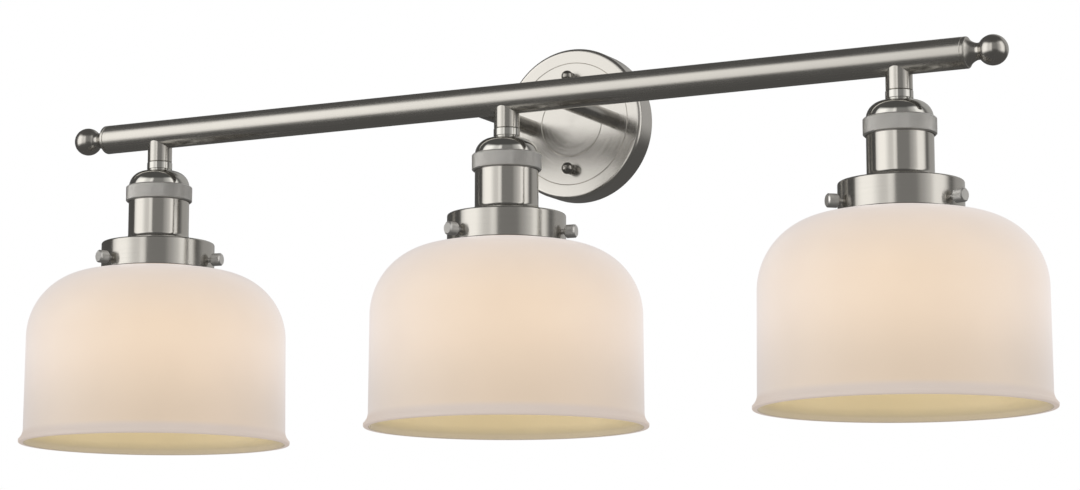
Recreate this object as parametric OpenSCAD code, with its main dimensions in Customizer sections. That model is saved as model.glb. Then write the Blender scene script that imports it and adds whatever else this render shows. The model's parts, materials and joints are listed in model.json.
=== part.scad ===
// Vanity light bar: a round wall plate and two short arms carry a long round bar,
// and three lamps hang from the bar, each with a socket, a shade holder and an opal bell shade.
//
// Frame: +X runs along the bar, +Y points into the wall, +Z is up.
// The origin is the centre of the wall plate's back, on the wall.
// Heights of the lamp pieces are measured from the bar's axis, which lies at z = 0.

/* [Bar] */
// Distance between neighbouring lamps
lamp_spacing = 300; // [260:5:400]
// Diameter of the bar
bar_d = 21.8; // [20:0.2:26]
// Wall of the bar tube
bar_wall = 1.5; // [1:0.1:2.5]
// Distance from the wall to the bar's axis
bar_reach = 124; // [100:1:160]
// Distance from the outer lamps to the ball finials' centres
ball_overhang = 66.8; // [40:0.1:90]
// Diameter of the ball finials
ball_d = 21; // [19:0.2:24]
// Radius of the waist between an end cap and its ball
waist_r = 5.8; // [5:0.1:8]

/* [Wall plate and arms] */
// Radius of the wall plate
plate_r = 57.5; // [56:0.5:75]
// Depth of the wall plate
plate_depth = 20; // [16:0.5:30]
// Wall of the pressed plate
plate_wall = 1.2; // [0.8:0.1:2]
// Radii of the two engraved rings on the plate's face
plate_rings = [25, 46.4];
// Height of each mounting stud above and below the centre
stud_z = 35; // [34:0.5:36]
// Distance of each arm from the centre
arm_x = 34.5; // [32:0.5:37]
// Diameter of the arms
arm_d = 12; // [11:0.5:14]

/* [Shade] */
// Radius of the bell's straight body at its lower end
bell_r = 98.2; // [90:0.1:110]
// Radius of the flared lip
lip_r = 101.6; // [95:0.1:115]
// Height of the lip's lower edge
bell_bottom_z = -237.4; // [-260:0.1:-230]
// Glass thickness
glass_wall = 3.2; // [2.5:0.1:4]
// Radius of the bell's round shoulder
shoulder_r = 50.7; // [45:0.1:55]
// Radius of the glass neck inside the holder
glass_neck_r = 38.2; // [37:0.1:38.4]

/* [Shade holder] */
// Radius of the holder cup
holder_r = 42.7; // [42:0.1:44]
// Height of the holder's top
holder_top_z = -84.4; // [-85:0.1:-83]
// Height of the holder's lower edge
holder_bottom_z = -105.3; // [-106:0.1:-104]
// Direction of the first thumbscrew of each lamp, turned from the front towards the right
screw_turn = [-22, -24, -47.5];

/* [Socket] */
// Radius of the stem under the bar
stem_r = 9.2; // [8:0.1:10]
// Radius of the knurled ring
knurl_r = 25.1; // [24:0.1:26]
// Radius of the socket shell
shell_r = 22.9; // [22.5:0.1:23]

/* [Hidden] */
$fn = 96;

SIDES = ["left", "center", "right"];
LAMP_PIECES = [
    "stem", "socket_cap", "knurled_ring", "socket_shell", "shade_holder", "porcelain",
    "screw_shell", "bulb_glass", "bulb_base", "shade",
    "thumbscrew_front", "thumbscrew_right", "thumbscrew_back"
];

satin_nickel = [0.66, 0.64, 0.61];
polished_nickel = [0.74, 0.73, 0.70];
zinc = [0.72, 0.73, 0.75];
brass = [0.80, 0.65, 0.35];

bar_r = bar_d / 2;
bar_bore_r = bar_r - bar_wall;
bar_y = -bar_reach;
lamp_x = [-lamp_spacing, 0, lamp_spacing];
ball_x = lamp_spacing + ball_overhang;

// Places along the bar, measured back from a ball finial's centre
seam_back = 20.2;       // joint between the tube and its end cap
shoulder_back = 17.3;   // start of the cap's cove
waist_back = 10.9;      // joint between the cap and the ball's neck

// Studs, nuts and the strap behind the plate
stud_r = 2.05;
stud_hole_r = 2.1;
strap_t = 2.3;
strap_w = 20;
strap_half_l = 53;
box_screw_z = 44.45;    // half of the 88.9 mm screw spacing of a round junction box
slot_r = 2.3;
slot_l = 10;
stud_nut_h = 3;
stud_nut_r = 4.6;
plate_edge_r = 3;
groove_w = 0.6;
groove_d = 0.35;
ball_nut_r = 4.5;
ball_nut_y = -27;
ball_nut_neck_r = [3.1, 3.9];
ball_nut_foot_h = 0.95;
ball_nut_gap = 0.05;
ground_z = -17;
ground_head_r = 4.4;
ground_head_h = 2.4;

// Threaded tubes that join the pieces and carry the wires
pipe_r = 4.8;
pipe_bore_r = 3.4;
pipe_fit = 0.1;
bar_hole_r = 4.4;
arm_spigot = 8;
arm_nut_h = 3;
arm_nut_r = 8.1;
nipple_top_z = -12.5;
nipple_bottom_z = -33;

// End caps and finials
plug_l = 12;
plug_fit = 0.1;
seam_w = 0.6;
seam_d = 0.3;
cap_shoulder_round = 1;
cove_r = 12;

// Socket heights
stem_bottom_z = -21.7;
collar_bottom_z = -27.4;
collar_r = 9.5;
dome_round_r = 12;
dome_center = [10.9, -40.9];
cap_wall = 1.2;
cap_bottom_z = -44.4;
knurl_top_z = -40.5;
knurl_bottom_z = -52.4;
knurl_edge = 0.7;
knurl_fit = 0.3;
shell_top_z = -44.6;
shell_bottom_z = -78;
shell_wall = 1;
foot_r = 25.4;
foot_top_z = -81.5;
foot_floor = 1.2;
skirt_r = 20;
skirt_bottom_z = -93.5;

// Porcelain body, screw shell and bulb
porcelain_top_z = -46;
porcelain_step_z = -56;
porcelain_bottom_z = -92;
porcelain_r = [21, 18.7];
lamp_bore_r = 14;
lamp_bore_top_z = -64;
screw_shell_r = [13.9, 13.3];
screw_shell_top_z = -66;
screw_shell_hole_r = 8;
screw_shell_t = 0.6;
contact_size = [6, 4, 2];
terminal_r = 2.6;
terminal_h = 1.5;
base_r = 12.4;
base_thread_r = 0.6;
base_top_z = -69.5;
base_bottom_z = -95;
thread_turns = 5;
thread_pitch = 3.6;
insulator_r = [10, 5];
insulator_h = 2;
tip_r = 4;
tip_h = 3;
bulb_r = 30;
bulb_center_z = -148;
bulb_neck_r = 12;
bulb_wall = 0.8;

// Shade holder and thumbscrews
holder_wall = 1.2;
holder_round_r = 1.5;
holder_hole_r = 20.2;
holder_ring_r = 26;
holder_ring_h = 4;
thumbscrew_z = -99;
thumbscrew_r = 1.95;
thumbscrew_hole_r = 2;
thumbscrew_tip = 38.5;
thumbscrew_head_r = 4.9;
thumbscrew_head = [45.4, 53.4];
thumbscrew_bevel = 0.9;
thumbscrew_step = 120;

// Glass profile
glass_top_z = -87.3;
glass_rim_r = 39.9;
glass_rim_h = 5;
glass_rim_slope = 1.7;
glass_edge = 0.8;
fillet_depth = 15;      // from the glass's top to the middle of the neck fillet
neck_fillet_r = 4.7;
bell_draft = 0.6;       // how much narrower the body is at the shoulder
lip_h = 10.2;
lip_edge = 2.4;
lip_bevel = 0.6;
lip_face = 3.6;

// Wires
wire_r = 1;
wire_offset = 1.3;
terminal_x = 9;
wire_gap = 1.1;
wire_rise = 2.4;
wire_turn_z = -35;
wire_end_y = -8;

function arc(center, r, a0, a1, steps = 12) =
    [for (i = [0:steps]) center + r * [cos(a0 + (a1 - a0) * i / steps), sin(a0 + (a1 - a0) * i / steps)]];

// Round bars along the three directions
module rod_x(r, x0, x1) translate([x0, 0, 0]) rotate([0, 90, 0]) cylinder(r = r, h = x1 - x0);
module rod_y(r, y0, y1) translate([0, y0, 0]) rotate([-90, 0, 0]) cylinder(r = r, h = y1 - y0);
module rod_z(r, z0, z1) translate([0, 0, z0]) cylinder(r = r, h = z1 - z0);

// A round bar between any two points, with a slightly fuller round end on the second
module rod_between(a, b, r) {
    step = b - a;
    translate(a)
        rotate([0, acos(step[2] / norm(step)), atan2(step[1], step[0])])
            cylinder(r = r, h = norm(step), $fn = 24);
    translate(b) sphere(r = r * 1.06, $fn = 24);
}

// A plain tube or ring that hangs on the lamp's axis
module ring_z(r_out, r_in, z0, z1) {
    rotate_extrude() translate([r_in, z0]) square([r_out - r_in, z1 - z0]);
}

module at_lamp(i) translate([lamp_x[i], bar_y, 0]) children();
module at_bar() translate([0, bar_y, 0]) children();

// ---- Wall plate ----

// Filled outline of the pan, from its axis outwards and from the wall forwards
module pan_outline(r, depth, edge) {
    square([r - edge, depth]);
    square([r, depth - edge]);
    translate([r - edge, depth - edge]) circle(r = edge);
}

module backplate() {
    color(satin_nickel)
        rotate([90, 0, 0])
            difference() {
                rotate_extrude() difference() {
                    pan_outline(plate_r, plate_depth, plate_edge_r);
                    translate([0, -1])
                        pan_outline(plate_r - plate_wall, plate_depth - plate_wall + 1, plate_edge_r - plate_wall);
                }
                for (r = plate_rings)
                    rotate_extrude() translate([r - groove_w / 2, plate_depth - groove_d])
                        square([groove_w, 1]);
                for (side = [-1, 1]) {
                    translate([side * arm_x, 0, 0]) rod_z(pipe_r + 2 * pipe_fit, 0, plate_depth + 1);
                    translate([0, side * stud_z, 0]) rod_z(stud_hole_r + pipe_fit, 0, plate_depth + 1);
                }
            }
}

module crossbar() {
    color(zinc)
        difference() {
            translate([-strap_w / 2, -strap_t, -strap_half_l])
                cube([strap_w, strap_t, 2 * strap_half_l]);
            rod_y(pipe_r, -strap_t - 1, 1);
            translate([0, 0, ground_z]) rod_y(stud_hole_r, -strap_t - 1, 1);
            for (side = [-1, 1]) {
                translate([0, 0, side * stud_z]) rod_y(stud_hole_r, -strap_t - 1, 1);
                translate([0, 0, side * box_screw_z]) box_slot();
            }
        }
}

// A slot with round ends, long in the Z direction
module box_slot() {
    reach = slot_l / 2 - slot_r;
    for (end = [-reach, reach])
        translate([0, 0, end]) rod_y(slot_r, -strap_t - 1, 1);
    translate([-slot_r, -strap_t - 1, -reach]) cube([2 * slot_r, strap_t + 2, 2 * reach]);
}

module mounting_studs() {
    color(zinc)
        for (side = [-1, 1])
            translate([0, 0, side * stud_z]) rod_y(stud_r, ball_nut_y, 0);
}

module stud_nuts() {
    color(zinc)
        for (side = [-1, 1])
            translate([0, -strap_t, side * stud_z])
                rotate([90, 0, 0])
                    difference() {
                        cylinder(r = stud_nut_r, h = stud_nut_h, $fn = 6);
                        translate([0, 0, -1]) cylinder(r = stud_hole_r, h = stud_nut_h + 2);
                    }
}

// A ball-shaped nut on a short neck that closes on the plate
module ball_nut(z) {
    color(satin_nickel)
        translate([0, 0, z])
            difference() {
                union() {
                    translate([0, ball_nut_y, 0]) sphere(r = ball_nut_r);
                    rod_y(ball_nut_neck_r[0], ball_nut_y, -plate_depth - ball_nut_gap);
                    rod_y(ball_nut_neck_r[1], -plate_depth - ball_nut_gap - ball_nut_foot_h,
                          -plate_depth - ball_nut_gap);
                }
                rod_y(stud_hole_r, ball_nut_y - 1, 0);
            }
}

module ground_screw() {
    color([0.18, 0.5, 0.25])
        translate([0, 0, ground_z]) {
            rod_y(stud_r, -strap_t - 1, 0);
            translate([0, -strap_t, 0])
                rotate([90, 0, 0])
                    difference() {
                        cylinder(r = ground_head_r, h = ground_head_h, $fn = 6);
                        // the driver's slot
                        translate([-5, -0.5, ground_head_h - 1]) cube([10, 1, 2]);
                    }
        }
}

// ---- Arms ----

module arm(side) {
    color(satin_nickel)
        difference() {
            translate([side * arm_x, 0, 0]) {
                rod_y(arm_d / 2, bar_y, -plate_depth);
                rod_y(pipe_r, -plate_depth - 1, -plate_depth + arm_spigot);
            }
            at_bar() rod_x(bar_r, -lamp_spacing, lamp_spacing);
            translate([side * arm_x, 0, 0]) rod_y(pipe_bore_r, bar_y, 0);
        }
}

module arm_nuts() {
    color(brass)
        for (side = [-1, 1])
            translate([side * arm_x, -plate_depth + plate_wall + arm_nut_h, 0])
                rotate([90, 0, 0])
                    difference() {
                        cylinder(r = arm_nut_r, h = arm_nut_h, $fn = 6);
                        translate([0, 0, -1]) cylinder(r = pipe_r + pipe_fit, h = arm_nut_h + 2);
                    }
}

// ---- Bar ----

module bar() {
    color(satin_nickel)
        at_bar()
            difference() {
                rod_x(bar_r, -ball_x + seam_back, ball_x - seam_back);
                rod_x(bar_bore_r, -ball_x, ball_x);
                for (x = lamp_x) translate([x, 0, 0]) rod_z(bar_hole_r, -bar_r - 1, 0);
                for (side = [-1, 1]) translate([side * arm_x, 0, 0]) rod_y(pipe_bore_r, 0, bar_r + 1);
            }
}

// Places a shape that is turned about +Z so that +Z points out of one end of the bar
module at_bar_end(side) {
    at_bar() translate([side * ball_x, 0, 0]) rotate([0, side * 90, 0]) children();
}

// A plug with a full-size collar, a small round shoulder and a coved cone down to the waist
module end_cap(side) {
    plug_r = bar_bore_r - plug_fit;
    seam_r = bar_r - seam_d;
    round_center = [bar_r - cap_shoulder_round, -shoulder_back - cap_shoulder_round];
    cove_start = round_center + [0, cap_shoulder_round];
    cove_end = [waist_r, -waist_back];
    chord = cove_end - cove_start;
    cove_center = (cove_start + cove_end) / 2
        + sqrt(cove_r * cove_r - chord * chord / 4) * [chord[1], -chord[0]] / norm(chord);
    from = cove_start - cove_center;
    to = cove_end - cove_center;
    color(satin_nickel)
        at_bar_end(side)
            rotate_extrude() polygon(concat(
                [[0, -seam_back - plug_l], [plug_r, -seam_back - plug_l], [plug_r, -seam_back],
                 [seam_r, -seam_back], [seam_r, -seam_back + seam_w], [bar_r, -seam_back + seam_w]],
                arc(round_center, cap_shoulder_round, 0, 80, 5),
                arc(cove_center, cove_r, atan2(from[1], from[0]), atan2(to[1], to[0])),
                [[0, -waist_back]]
            ));
}

module ball_finial(side) {
    color(satin_nickel)
        at_bar_end(side) {
            sphere(r = ball_d / 2);
            rod_z(waist_r, -waist_back, 0);
        }
}

// ---- Stem and socket ----

module stem(i) {
    color(satin_nickel)
        at_lamp(i)
            difference() {
                rod_z(stem_r, stem_bottom_z, 0);
                rod_x(bar_r, -bar_d, bar_d);
                rod_z(pipe_r + pipe_fit, stem_bottom_z - 1, 0);
            }
}

module nipples() {
    color(zinc)
        for (i = [0:2])
            at_lamp(i) ring_z(pipe_r, pipe_bore_r, nipple_bottom_z, nipple_top_z);
}

// A neck collar with a small flare over a thin dome
module socket_cap(i) {
    bore_r = pipe_r + pipe_fit;
    inner_round_r = dome_round_r - cap_wall;
    skirt_out_r = dome_center[0] + dome_round_r;
    neck = [
        [bore_r, stem_bottom_z], [collar_r, stem_bottom_z], [collar_r, collar_bottom_z],
        [collar_r - 0.5, collar_bottom_z - 0.6], [dome_center[0], collar_bottom_z - 1.3]
    ];
    outer = concat(neck, arc(dome_center, dome_round_r, 80, 0), [[skirt_out_r, cap_bottom_z]]);
    inner = concat([[skirt_out_r - cap_wall, cap_bottom_z]], arc(dome_center, inner_round_r, 0, 90),
                   [[bore_r, dome_center[1] + inner_round_r]]);
    color(polished_nickel)
        at_lamp(i) rotate_extrude() polygon(concat(outer, inner));
}

module knurled_ring(i) {
    bore_r = shell_r + knurl_fit;
    edge_r = knurl_r - knurl_edge;
    color(satin_nickel)
        at_lamp(i)
            rotate_extrude() polygon([
                [bore_r, knurl_bottom_z], [edge_r, knurl_bottom_z], [knurl_r, knurl_bottom_z + knurl_edge],
                [knurl_r, knurl_top_z - knurl_edge], [edge_r, knurl_top_z], [bore_r, knurl_top_z]
            ]);
}

// A straight shell over a coved foot that stands on the holder, and a skirt that goes through it
module socket_shell(i) {
    cove_w = foot_r - shell_r;
    cove_h = shell_bottom_z - foot_top_z;
    foot_cove_r = (cove_w * cove_w + cove_h * cove_h) / (2 * cove_w);
    cove_turn = asin(cove_h / foot_cove_r);
    inner_r = shell_r - shell_wall;
    skirt_in_r = skirt_r - shell_wall;
    color(satin_nickel)
        at_lamp(i)
            rotate_extrude() polygon(concat(
                [[inner_r, shell_top_z], [shell_r, shell_top_z]],
                arc([shell_r + foot_cove_r, shell_bottom_z], foot_cove_r, 180, 180 + cove_turn, 6),
                [[foot_r, holder_top_z], [skirt_r, holder_top_z], [skirt_r, skirt_bottom_z],
                 [skirt_in_r, skirt_bottom_z], [skirt_in_r, holder_top_z + foot_floor],
                 [inner_r, holder_top_z + foot_floor]]
            ));
}

module porcelain(i) {
    color([0.95, 0.94, 0.9])
        at_lamp(i)
            difference() {
                union() {
                    rod_z(porcelain_r[0], porcelain_step_z, porcelain_top_z);
                    rod_z(porcelain_r[1], porcelain_bottom_z, porcelain_step_z + 1);
                }
                rod_z(lamp_bore_r, porcelain_bottom_z - 1, lamp_bore_top_z);
            }
}

module screw_shell(i) {
    color(brass)
        at_lamp(i) {
            ring_z(screw_shell_r[0], screw_shell_r[1], porcelain_bottom_z + 1, screw_shell_top_z);
            ring_z(screw_shell_r[0], screw_shell_hole_r, screw_shell_top_z, screw_shell_top_z + screw_shell_t);
        }
}

// A springy tongue over the bulb's tip
module center_contacts() {
    color(brass)
        for (i = [0:2])
            at_lamp(i)
                translate([-contact_size[0] / 2, -contact_size[1] / 2, lamp_bore_top_z - contact_size[2]])
                    cube(contact_size);
}

module terminal_screws() {
    color(brass)
        for (i = [0:2], side = [-1, 1])
            at_lamp(i) translate([side * terminal_x, 0, 0])
                rod_z(terminal_r, porcelain_top_z, porcelain_top_z + terminal_h);
}

// ---- Bulb ----

module bulb_base(i) {
    color(zinc)
        at_lamp(i) {
            rod_z(base_r, base_bottom_z, base_top_z);
            for (turn = [1:thread_turns])
                translate([0, 0, base_top_z - thread_pitch * turn])
                    rotate_extrude() translate([base_r - 0.1, 0]) circle(r = base_thread_r, $fn = 24);
            translate([0, 0, base_top_z])
                cylinder(r1 = insulator_r[0], r2 = insulator_r[1], h = insulator_h);
            rod_z(tip_r, base_top_z, base_top_z + tip_h);
        }
}

// A round globe that narrows in a straight line to its neck
module bulb_glass(i) {
    tangent = 38;
    neck_top_z = base_bottom_z;
    center = [0, bulb_center_z];
    outer = concat([[bulb_neck_r, neck_top_z]], arc(center, bulb_r, tangent, -90, 20));
    inner = concat(arc(center, bulb_r - bulb_wall, -90, tangent, 20), [[bulb_neck_r - bulb_wall, neck_top_z]]);
    color([0.98, 0.95, 0.86])
        at_lamp(i) rotate_extrude() polygon(concat(outer, inner));
}

// ---- Shade holder and shade ----

// Filled outline of the cup, from its axis outwards
module cup_outline(r, top_z, bottom_z, round_r) {
    translate([0, bottom_z]) square([r, top_z - round_r - bottom_z]);
    translate([0, bottom_z]) square([r - round_r, top_z - bottom_z]);
    translate([r - round_r, top_z - round_r]) circle(r = round_r);
}

module shade_holder(i) {
    color(satin_nickel)
        at_lamp(i)
            difference() {
                rotate_extrude() difference() {
                    cup_outline(holder_r, holder_top_z, holder_bottom_z, holder_round_r);
                    cup_outline(holder_r - holder_wall, holder_top_z - holder_wall,
                                holder_bottom_z - 1, holder_round_r - holder_wall);
                    translate([0, holder_top_z - 2 * holder_wall]) square([holder_hole_r, 4 * holder_wall]);
                }
                for (k = [0:2])
                    at_thumbscrew(i, k) rod_z(thumbscrew_hole_r, holder_r - 6, holder_r + 1);
            }
}

module holder_rings() {
    color(satin_nickel)
        for (i = [0:2])
            at_lamp(i)
                ring_z(holder_ring_r, holder_hole_r, holder_top_z - holder_wall - holder_ring_h,
                       holder_top_z - holder_wall);
}

// Turns +Z so that it points out along a thumbscrew, from the lamp's axis
module at_thumbscrew(i, k) {
    translate([0, 0, thumbscrew_z])
        rotate([0, 0, screw_turn[i] + k * thumbscrew_step])
            rotate([90, 0, 0]) children();
}

module thumbscrew(i, k) {
    color(satin_nickel)
        at_lamp(i) at_thumbscrew(i, k) {
            rod_z(thumbscrew_r, thumbscrew_tip, thumbscrew_head[0] + 1);
            rotate_extrude() polygon([
                [0, thumbscrew_head[0]], [thumbscrew_head_r - thumbscrew_bevel, thumbscrew_head[0]],
                [thumbscrew_head_r, thumbscrew_head[0] + thumbscrew_bevel],
                [thumbscrew_head_r, thumbscrew_head[1] - thumbscrew_bevel],
                [thumbscrew_head_r - thumbscrew_bevel, thumbscrew_head[1]], [0, thumbscrew_head[1]]
            ]);
        }
}

// The glass bell: a rimmed neck, a round shoulder, a nearly straight body and a flared lip
module shade(i) {
    neck_in_r = glass_neck_r - glass_wall;
    fillet = [glass_neck_r + neck_fillet_r, glass_top_z - fillet_depth];
    shoulder_top_z = fillet[1] - neck_fillet_r;
    body_top_r = bell_r - bell_draft;
    shoulder = [body_top_r - shoulder_r, shoulder_top_z - shoulder_r];
    lip_top_z = bell_bottom_z + lip_h;
    flare = lip_r - bell_r;
    flare_h = lip_h - lip_edge;
    flare_r = (flare_h * flare_h + flare * flare) / (2 * flare);
    flare_turn = asin(flare_h / flare_r);
    flare_center = [bell_r + flare_r, lip_top_z];
    outer = concat(
        [[neck_in_r + glass_edge, glass_top_z], [glass_rim_r - glass_edge, glass_top_z],
         [glass_rim_r, glass_top_z - glass_edge], [glass_rim_r, glass_top_z - glass_rim_h],
         [glass_neck_r, glass_top_z - glass_rim_h - glass_rim_slope]],
        arc(fillet, neck_fillet_r, 180, 270, 6),
        arc(shoulder, shoulder_r, 90, 0, 20),
        arc(flare_center, flare_r, 180, 180 + flare_turn, 6),
        [[lip_r, bell_bottom_z + lip_bevel], [lip_r - lip_bevel, bell_bottom_z]]
    );
    inner = concat(
        [[lip_r - lip_face, bell_bottom_z], [lip_r - lip_face - glass_edge, bell_bottom_z + glass_edge]],
        arc(flare_center, flare_r + glass_wall, 180 + flare_turn * 0.7, 180, 5),
        arc(shoulder, shoulder_r - glass_wall, 0, 90, 20),
        arc(fillet, neck_fillet_r + glass_wall, 270, 180, 6),
        [[neck_in_r, glass_top_z - glass_edge]]
    );
    color([0.95, 0.90, 0.82])
        at_lamp(i) rotate_extrude() polygon(concat(outer, inner));
}

// ---- Wires inside the tubes ----

// One lead of one lamp, from its terminal up the stem, along the bar and out through an arm.
// The leads of a lamp keep apart: one runs above the bar's axis and the other below it.
module lead(i, level) {
    arm_side = i == 2 ? 1 : -1;
    turn = lamp_x[i] < arm_side * arm_x ? -1 : 1;
    shift = turn * level * wire_offset;
    height = level * wire_offset;
    exit_x = arm_side * arm_x + (i == 1 ? wire_offset : -wire_offset);
    start_z = porcelain_top_z + terminal_h + wire_gap;
    route = [
        [lamp_x[i] + turn * level * terminal_x, bar_y, start_z],
        [lamp_x[i] + turn * level * terminal_x, bar_y, start_z + wire_rise],
        [lamp_x[i] + shift, bar_y, wire_turn_z],
        [lamp_x[i] + shift, bar_y, height],
        [exit_x, bar_y, height],
        [exit_x, wire_end_y, height]
    ];
    for (k = [1:len(route) - 1])
        rod_between(route[k - 1], route[k], wire_r);
}

module wires_black() color([0.08, 0.08, 0.08]) for (i = [0:2]) lead(i, 1);
module wires_white() color([0.92, 0.92, 0.9]) for (i = [0:2]) lead(i, -1);

// ---- The assembly ----

backplate();
crossbar();
mounting_studs();
stud_nuts();
ball_nut(stud_z);  // ball_nut_top
ball_nut(-stud_z);  // ball_nut_bottom
ground_screw();
arm(-1);  // arm_left
arm(1);  // arm_right
arm_nuts();
bar();
end_cap(-1);  // end_cap_left
end_cap(1);  // end_cap_right
ball_finial(-1);  // ball_finial_left
ball_finial(1);  // ball_finial_right
nipples();
center_contacts();
terminal_screws();
holder_rings();
wires_black();
wires_white();

for (i = [0:2]) {
    stem(i);
    socket_cap(i);
    knurled_ring(i);
    socket_shell(i);
    shade_holder(i);
    porcelain(i);
    screw_shell(i);
    bulb_glass(i);
    bulb_base(i);
    shade(i);
    thumbscrew(i, 0);
    thumbscrew(i, 1);
    thumbscrew(i, 2);
}
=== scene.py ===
"""Finished look of a three-lamp vanity light bar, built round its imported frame.

Everything sits in the frame's own coordinates: +X along the bar, +Y into the wall, +Z up.
Sizes in the classes are millimetres. A piece is turned upright at the origin, and placed in metres.
Heights of lamp pieces are measured from the bar's axis, and those of plate pieces from the wall.
"""

from __future__ import annotations

import json
import logging
import math
from dataclasses import dataclass, field
from enum import Enum
from typing import Callable, Iterable, Sequence

import bpy
from mathutils import Matrix, Vector


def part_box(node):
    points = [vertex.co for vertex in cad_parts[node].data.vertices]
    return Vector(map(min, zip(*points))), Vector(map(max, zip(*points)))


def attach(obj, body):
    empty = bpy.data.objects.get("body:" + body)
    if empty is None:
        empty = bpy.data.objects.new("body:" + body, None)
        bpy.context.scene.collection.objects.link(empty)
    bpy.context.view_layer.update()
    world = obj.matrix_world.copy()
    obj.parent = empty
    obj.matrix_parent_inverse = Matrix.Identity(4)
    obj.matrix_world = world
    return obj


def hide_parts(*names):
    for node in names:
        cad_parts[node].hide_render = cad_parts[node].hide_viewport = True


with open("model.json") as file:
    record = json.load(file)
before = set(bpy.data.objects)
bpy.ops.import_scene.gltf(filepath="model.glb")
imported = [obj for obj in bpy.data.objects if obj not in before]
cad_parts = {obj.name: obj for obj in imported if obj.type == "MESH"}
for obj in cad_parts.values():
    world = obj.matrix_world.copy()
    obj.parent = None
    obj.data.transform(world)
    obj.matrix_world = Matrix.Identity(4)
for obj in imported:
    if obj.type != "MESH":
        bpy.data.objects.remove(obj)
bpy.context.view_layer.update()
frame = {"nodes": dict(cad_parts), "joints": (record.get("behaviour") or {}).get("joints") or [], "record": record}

MM = 0.001
SAME_LEVEL = 0.01 * MM
DOUBLES = 0.002 * MM
DRILL_STEPS = 48
OVERSHOOT = 5.0
BAR_RADIUS = 10.9
SIDES = ("left", "center", "right")
Color = tuple[float, float, float]
Piece, Material, Output = bpy.types.Object, bpy.types.Material, bpy.types.NodeSocket
Outline = list[tuple[float, float]]

log = logging.getLogger("vanity_light")


# ---- modelling bench


def put_down() -> None:
    """Leaves edit mode and deselects everything."""
    if bpy.context.object and bpy.context.object.mode != "OBJECT":
        bpy.ops.object.mode_set(mode="OBJECT")
    bpy.ops.object.select_all(action="DESELECT")


def pick_up(piece: Piece) -> None:
    """Makes one piece the only selected and active one."""
    put_down()
    piece.select_set(True)
    bpy.context.view_layer.objects.active = piece


def edit(piece: Piece) -> None:
    """Opens a piece in edit mode with every vertex selected.

    Args:
        piece: the mesh to open.
    """
    pick_up(piece)
    bpy.ops.object.mode_set(mode="EDIT")
    bpy.ops.mesh.select_mode(type="VERT")
    bpy.ops.mesh.select_all(action="SELECT")


def select_points(piece: Piece, test: Callable[[Vector], bool]) -> None:
    """Selects the vertices whose place passes a test, and stays in edit mode.

    Args:
        piece: a mesh open in edit mode.
        test: tells from a vertex's place whether it is wanted.
    """
    bpy.ops.mesh.select_mode(type="VERT")
    bpy.ops.mesh.select_all(action="DESELECT")
    bpy.ops.object.mode_set(mode="OBJECT")
    for vertex in piece.data.vertices:
        vertex.select = test(vertex.co)
    bpy.ops.object.mode_set(mode="EDIT")


def apply_all(piece: Piece) -> None:
    """Applies every modifier of a piece, in order.

    Args:
        piece: the mesh with the modifiers.
    """
    pick_up(piece)
    for modifier in list(piece.modifiers):
        bpy.ops.object.modifier_apply(modifier=modifier.name)


def arc(center: tuple[float, float], radius: float, start: float, end: float, count: int = 10) -> Outline:
    """Points of an arc in an outline, from one angle to another.

    Args:
        center: radius and height of the arc's centre.
        radius: the arc's own radius.
        start: first angle in degrees, 0 pointing away from the axis and 90 up.
        end: last angle in degrees.
        count: how many steps the arc has.

    Returns:
        count + 1 points.
    """
    angles = [math.radians(start + (end - start) * i / count) for i in range(count + 1)]
    return [(center[0] + radius * math.cos(a), center[1] + radius * math.sin(a)) for a in angles]


def turn(name: str, outline: Outline, steps: int = 96) -> Piece:
    """Turns an outline into a solid round the upright axis at the origin.

    Args:
        name: name of the new piece.
        outline: radius and height of each point; it starts and ends on the axis, or closes on itself.
        steps: faces round the axis.

    Returns:
        The new piece, in metres.
    """
    put_down()
    points = [Vector((radius, 0, height)) * MM for radius, height in outline]
    bpy.ops.mesh.primitive_plane_add(size=MM, location=points[0])
    piece = bpy.context.object
    piece.name = piece.data.name = name
    bpy.ops.object.transform_apply()
    edit(piece)
    bpy.ops.mesh.merge(type="CENTER")
    for here, there in zip(points, points[1:]):
        bpy.ops.mesh.extrude_region_move(TRANSFORM_OT_translate={"value": there - here})
    bpy.ops.mesh.select_all(action="SELECT")
    bpy.ops.mesh.spin(steps=steps, angle=math.tau, center=(0, 0, 0), axis=(0, 0, 1))
    tidy_surface(piece)
    return piece


def tidy_surface(piece: Piece) -> None:
    """Merges doubles and points every face outwards, then leaves edit mode.

    Args:
        piece: the mesh to clean.
    """
    edit(piece)
    bpy.ops.mesh.remove_doubles(threshold=DOUBLES)
    bpy.ops.mesh.normals_make_consistent(inside=False)
    bpy.ops.object.mode_set(mode="OBJECT")


def smooth(piece: Piece, angle: float = 38) -> None:
    """Shades a piece smoothly, with its large faces setting the normals.

    Args:
        piece: the mesh to shade.
        angle: edges sharper than this many degrees stay crisp.
    """
    pick_up(piece)
    bpy.ops.object.shade_smooth_by_angle(angle=math.radians(angle))
    weighted = piece.modifiers.new("normals", "WEIGHTED_NORMAL")
    weighted.keep_sharp = True
    apply_all(piece)


def cut(piece: Piece, cutter: Piece) -> None:
    """Cuts one piece's shape out of another and removes the cutter.

    Args:
        piece: the mesh to cut.
        cutter: the mesh that is taken away.
    """
    boolean = piece.modifiers.new("cut", "BOOLEAN")
    boolean.operation = "DIFFERENCE"
    boolean.solver = "EXACT"
    boolean.object = cutter
    apply_all(piece)
    bpy.data.objects.remove(cutter)


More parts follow.
